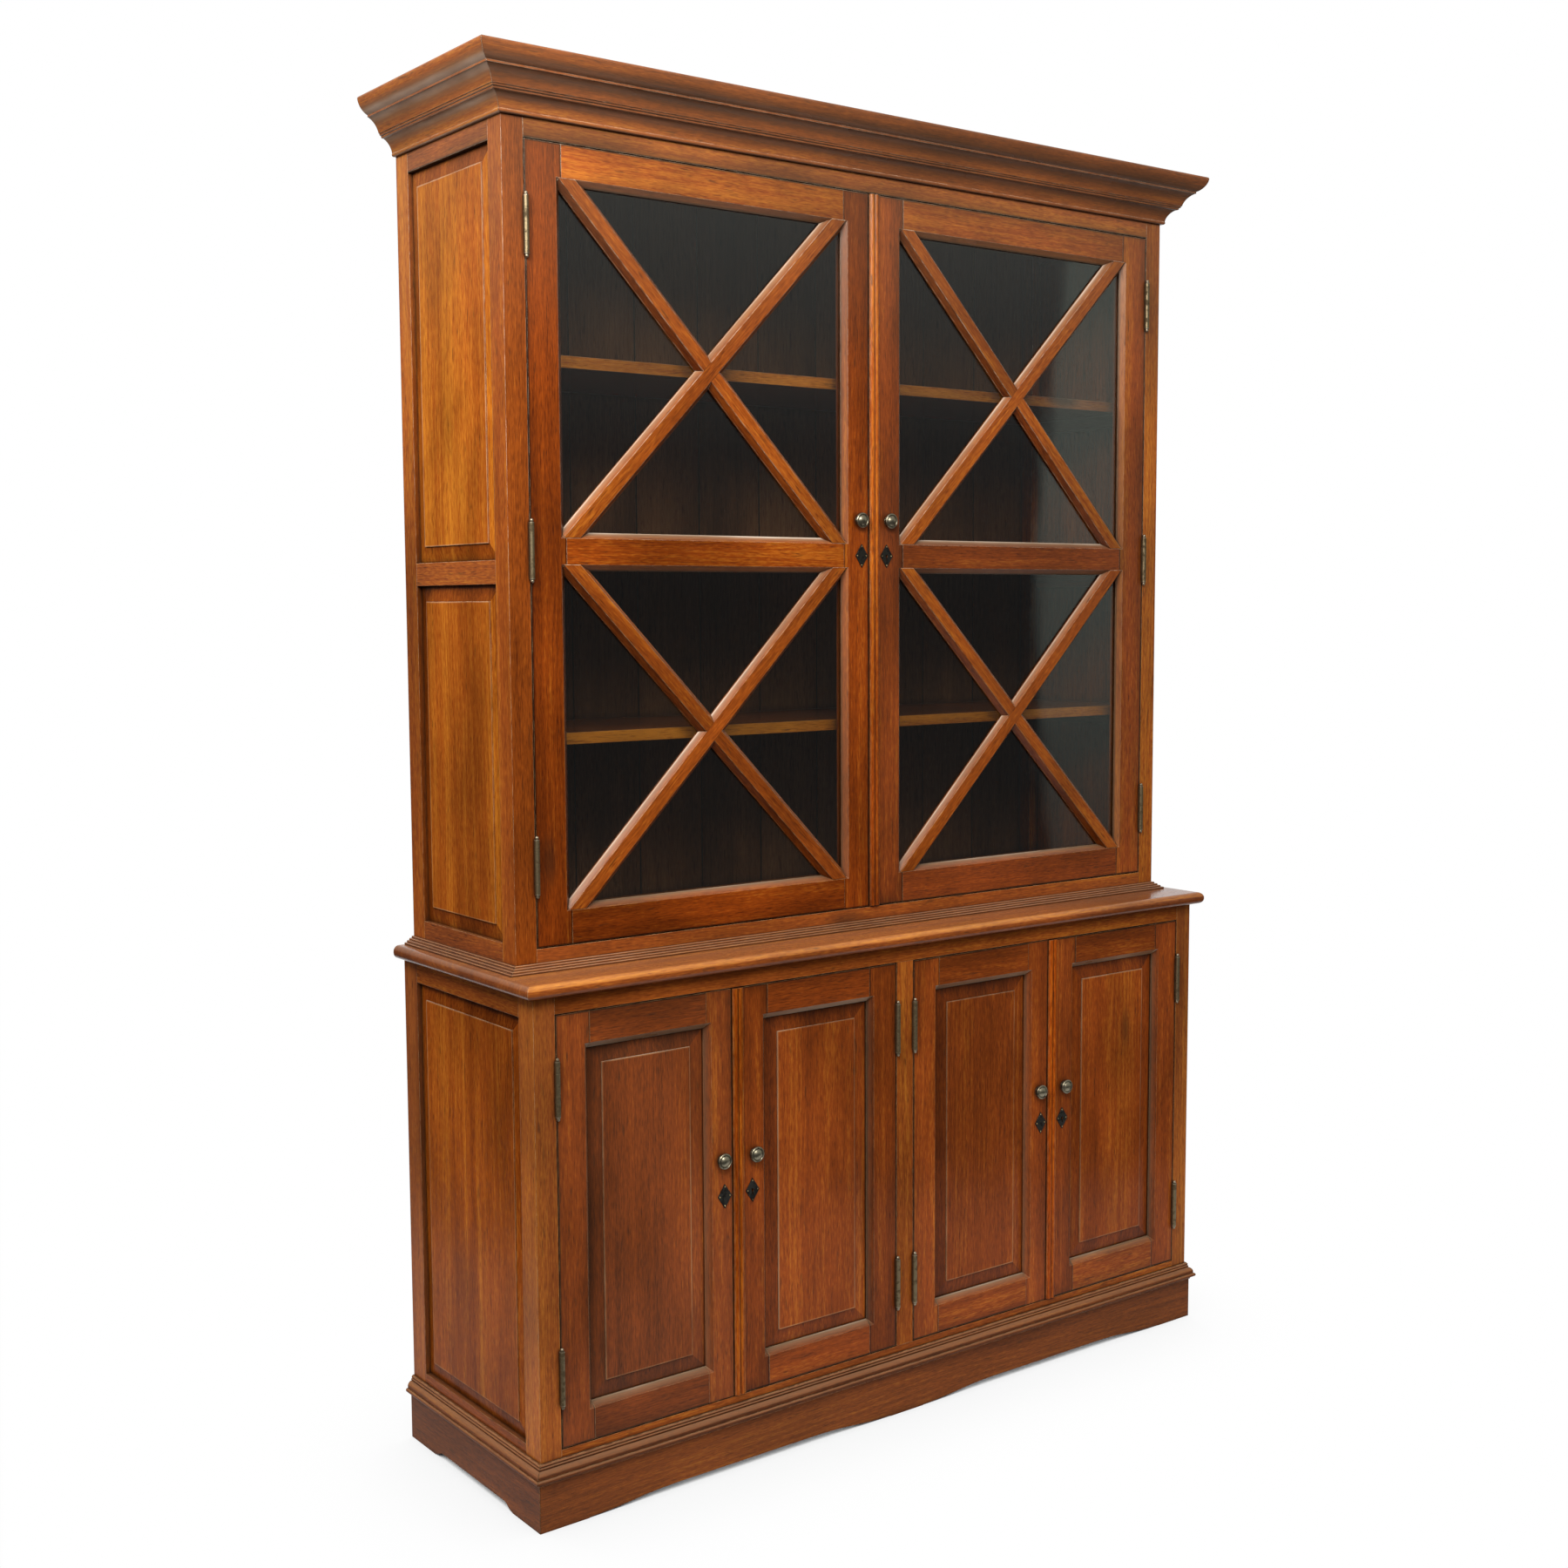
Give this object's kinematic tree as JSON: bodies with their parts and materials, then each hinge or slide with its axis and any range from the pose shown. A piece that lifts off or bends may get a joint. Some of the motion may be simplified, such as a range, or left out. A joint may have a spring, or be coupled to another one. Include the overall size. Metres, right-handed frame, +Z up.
{
  "type": "bookcase with glass doors",
  "caption": "Tall two-stage wooden bookcase: lattice-glazed doors above a counter, panelled doors below, with cornice, plinth, butt hinges, knobs and locks.",
  "frame": {"origin": "on the floor under the middle of the object's box", "axes": "+X to the right seen from the front, the doors face -Y, +Z up"},
  "size_m": [1.68, 0.487, 2.4],
  "materials": {
    "case_wood": "satin",
    "door_wood": "satin",
    "inside_wood": "matte",
    "glass": "gloss",
    "hinge_metal": "aged",
    "knob_metal": "polished by use",
    "escutcheon_metal": "dark patina",
    "lock_iron": "dull",
    "bolt_metal": "satin"
  },
  "bodies": {
    "case": {"back_boards": "inside_wood", "base_moulding": "case_wood", "cleats_and_stops": "inside_wood", "cornice": "case_wood", "counter_top": "case_wood", "hinge_case_leaves": "hinge_metal", "hinge_pins": "hinge_metal", "lower_boards": "inside_wood", "lower_posts": "case_wood", "lower_rails": "case_wood", "lower_side_panels": "door_wood", "plinth": "case_wood", "upper_boards": "inside_wood", "upper_posts": "case_wood", "upper_rails": "case_wood", "upper_side_panels": "door_wood", "waist_moulding": "case_wood"},
    "upper_left_door": {"upper_left_door_escutcheon": "escutcheon_metal", "upper_left_door_frame": "door_wood", "upper_left_door_glass": "glass", "upper_left_door_glazing_beads": "door_wood", "upper_left_door_hinge_leaves": "hinge_metal", "upper_left_door_knob": "knob_metal", "upper_left_door_lattice": "door_wood"},
    "upper_right_door": {"upper_right_door_astragal": "door_wood", "upper_right_door_escutcheon": "escutcheon_metal", "upper_right_door_frame": "door_wood", "upper_right_door_glass": "glass", "upper_right_door_glazing_beads": "door_wood", "upper_right_door_hinge_leaves": "hinge_metal", "upper_right_door_knob": "knob_metal", "upper_right_door_lattice": "door_wood", "upper_right_door_lock": "lock_iron"},
    "lower_outer_left_door": {"lower_outer_left_door_escutcheon": "escutcheon_metal", "lower_outer_left_door_frame": "door_wood", "lower_outer_left_door_hinge_leaves": "hinge_metal", "lower_outer_left_door_knob": "knob_metal", "lower_outer_left_door_panel": "door_wood"},
    "lower_inner_left_door": {"lower_inner_left_door_astragal": "door_wood", "lower_inner_left_door_escutcheon": "escutcheon_metal", "lower_inner_left_door_frame": "door_wood", "lower_inner_left_door_hinge_leaves": "hinge_metal", "lower_inner_left_door_knob": "knob_metal", "lower_inner_left_door_lock": "lock_iron", "lower_inner_left_door_panel": "door_wood"},
    "lower_inner_right_door": {"lower_inner_right_door_escutcheon": "escutcheon_metal", "lower_inner_right_door_frame": "door_wood", "lower_inner_right_door_hinge_leaves": "hinge_metal", "lower_inner_right_door_knob": "knob_metal", "lower_inner_right_door_panel": "door_wood"},
    "lower_outer_right_door": {"lower_outer_right_door_astragal": "door_wood", "lower_outer_right_door_escutcheon": "escutcheon_metal", "lower_outer_right_door_frame": "door_wood", "lower_outer_right_door_hinge_leaves": "hinge_metal", "lower_outer_right_door_knob": "knob_metal", "lower_outer_right_door_lock": "lock_iron", "lower_outer_right_door_panel": "door_wood"},
    "upper_right_door_bolt": {"upper_right_door_bolt": "bolt_metal"},
    "lower_inner_left_door_bolt": {"lower_inner_left_door_bolt": "bolt_metal"},
    "lower_outer_right_door_bolt": {"lower_outer_right_door_bolt": "bolt_metal"}
  },
  "joints": [
    {"name": "upper_left_door_hinge", "type": "hinge", "parent": "case", "child": "upper_left_door", "pos_m": [-0.72913, -0.1375, 1.61675], "axis": [0, 0, -1], "range_deg": [0, 170]},
    {"name": "upper_right_door_hinge", "type": "hinge", "parent": "case", "child": "upper_right_door", "pos_m": [0.72913, -0.1375, 1.61675], "axis": [0, 0, 1], "range_deg": [0, 170]},
    {"name": "lower_outer_left_door_hinge", "type": "hinge", "parent": "case", "child": "lower_outer_left_door", "pos_m": [-0.74913, -0.2275, 0.49725], "axis": [0, 0, -1], "range_deg": [0, 170]},
    {"name": "lower_inner_left_door_hinge", "type": "hinge", "parent": "case", "child": "lower_inner_left_door", "pos_m": [-0.02088, -0.2275, 0.49725], "axis": [0, 0, 1], "range_deg": [0, 90]},
    {"name": "lower_inner_right_door_hinge", "type": "hinge", "parent": "case", "child": "lower_inner_right_door", "pos_m": [0.02088, -0.2275, 0.49725], "axis": [0, 0, -1], "range_deg": [0, 90]},
    {"name": "lower_outer_right_door_hinge", "type": "hinge", "parent": "case", "child": "lower_outer_right_door", "pos_m": [0.74913, -0.2275, 0.49725], "axis": [0, 0, 1], "range_deg": [0, 170]},
    {"name": "upper_right_door_bolt_slide", "type": "slide", "parent": "upper_right_door", "child": "upper_right_door_bolt", "axis": [-1, 0, 0], "range_m": [0, 0.01]},
    {"name": "lower_inner_left_door_bolt_slide", "type": "slide", "parent": "lower_inner_left_door", "child": "lower_inner_left_door_bolt", "axis": [-1, 0, 0], "range_m": [0, 0.01]},
    {"name": "lower_outer_right_door_bolt_slide", "type": "slide", "parent": "lower_outer_right_door", "child": "lower_outer_right_door_bolt", "axis": [-1, 0, 0], "range_m": [0, 0.01]}
  ]
}
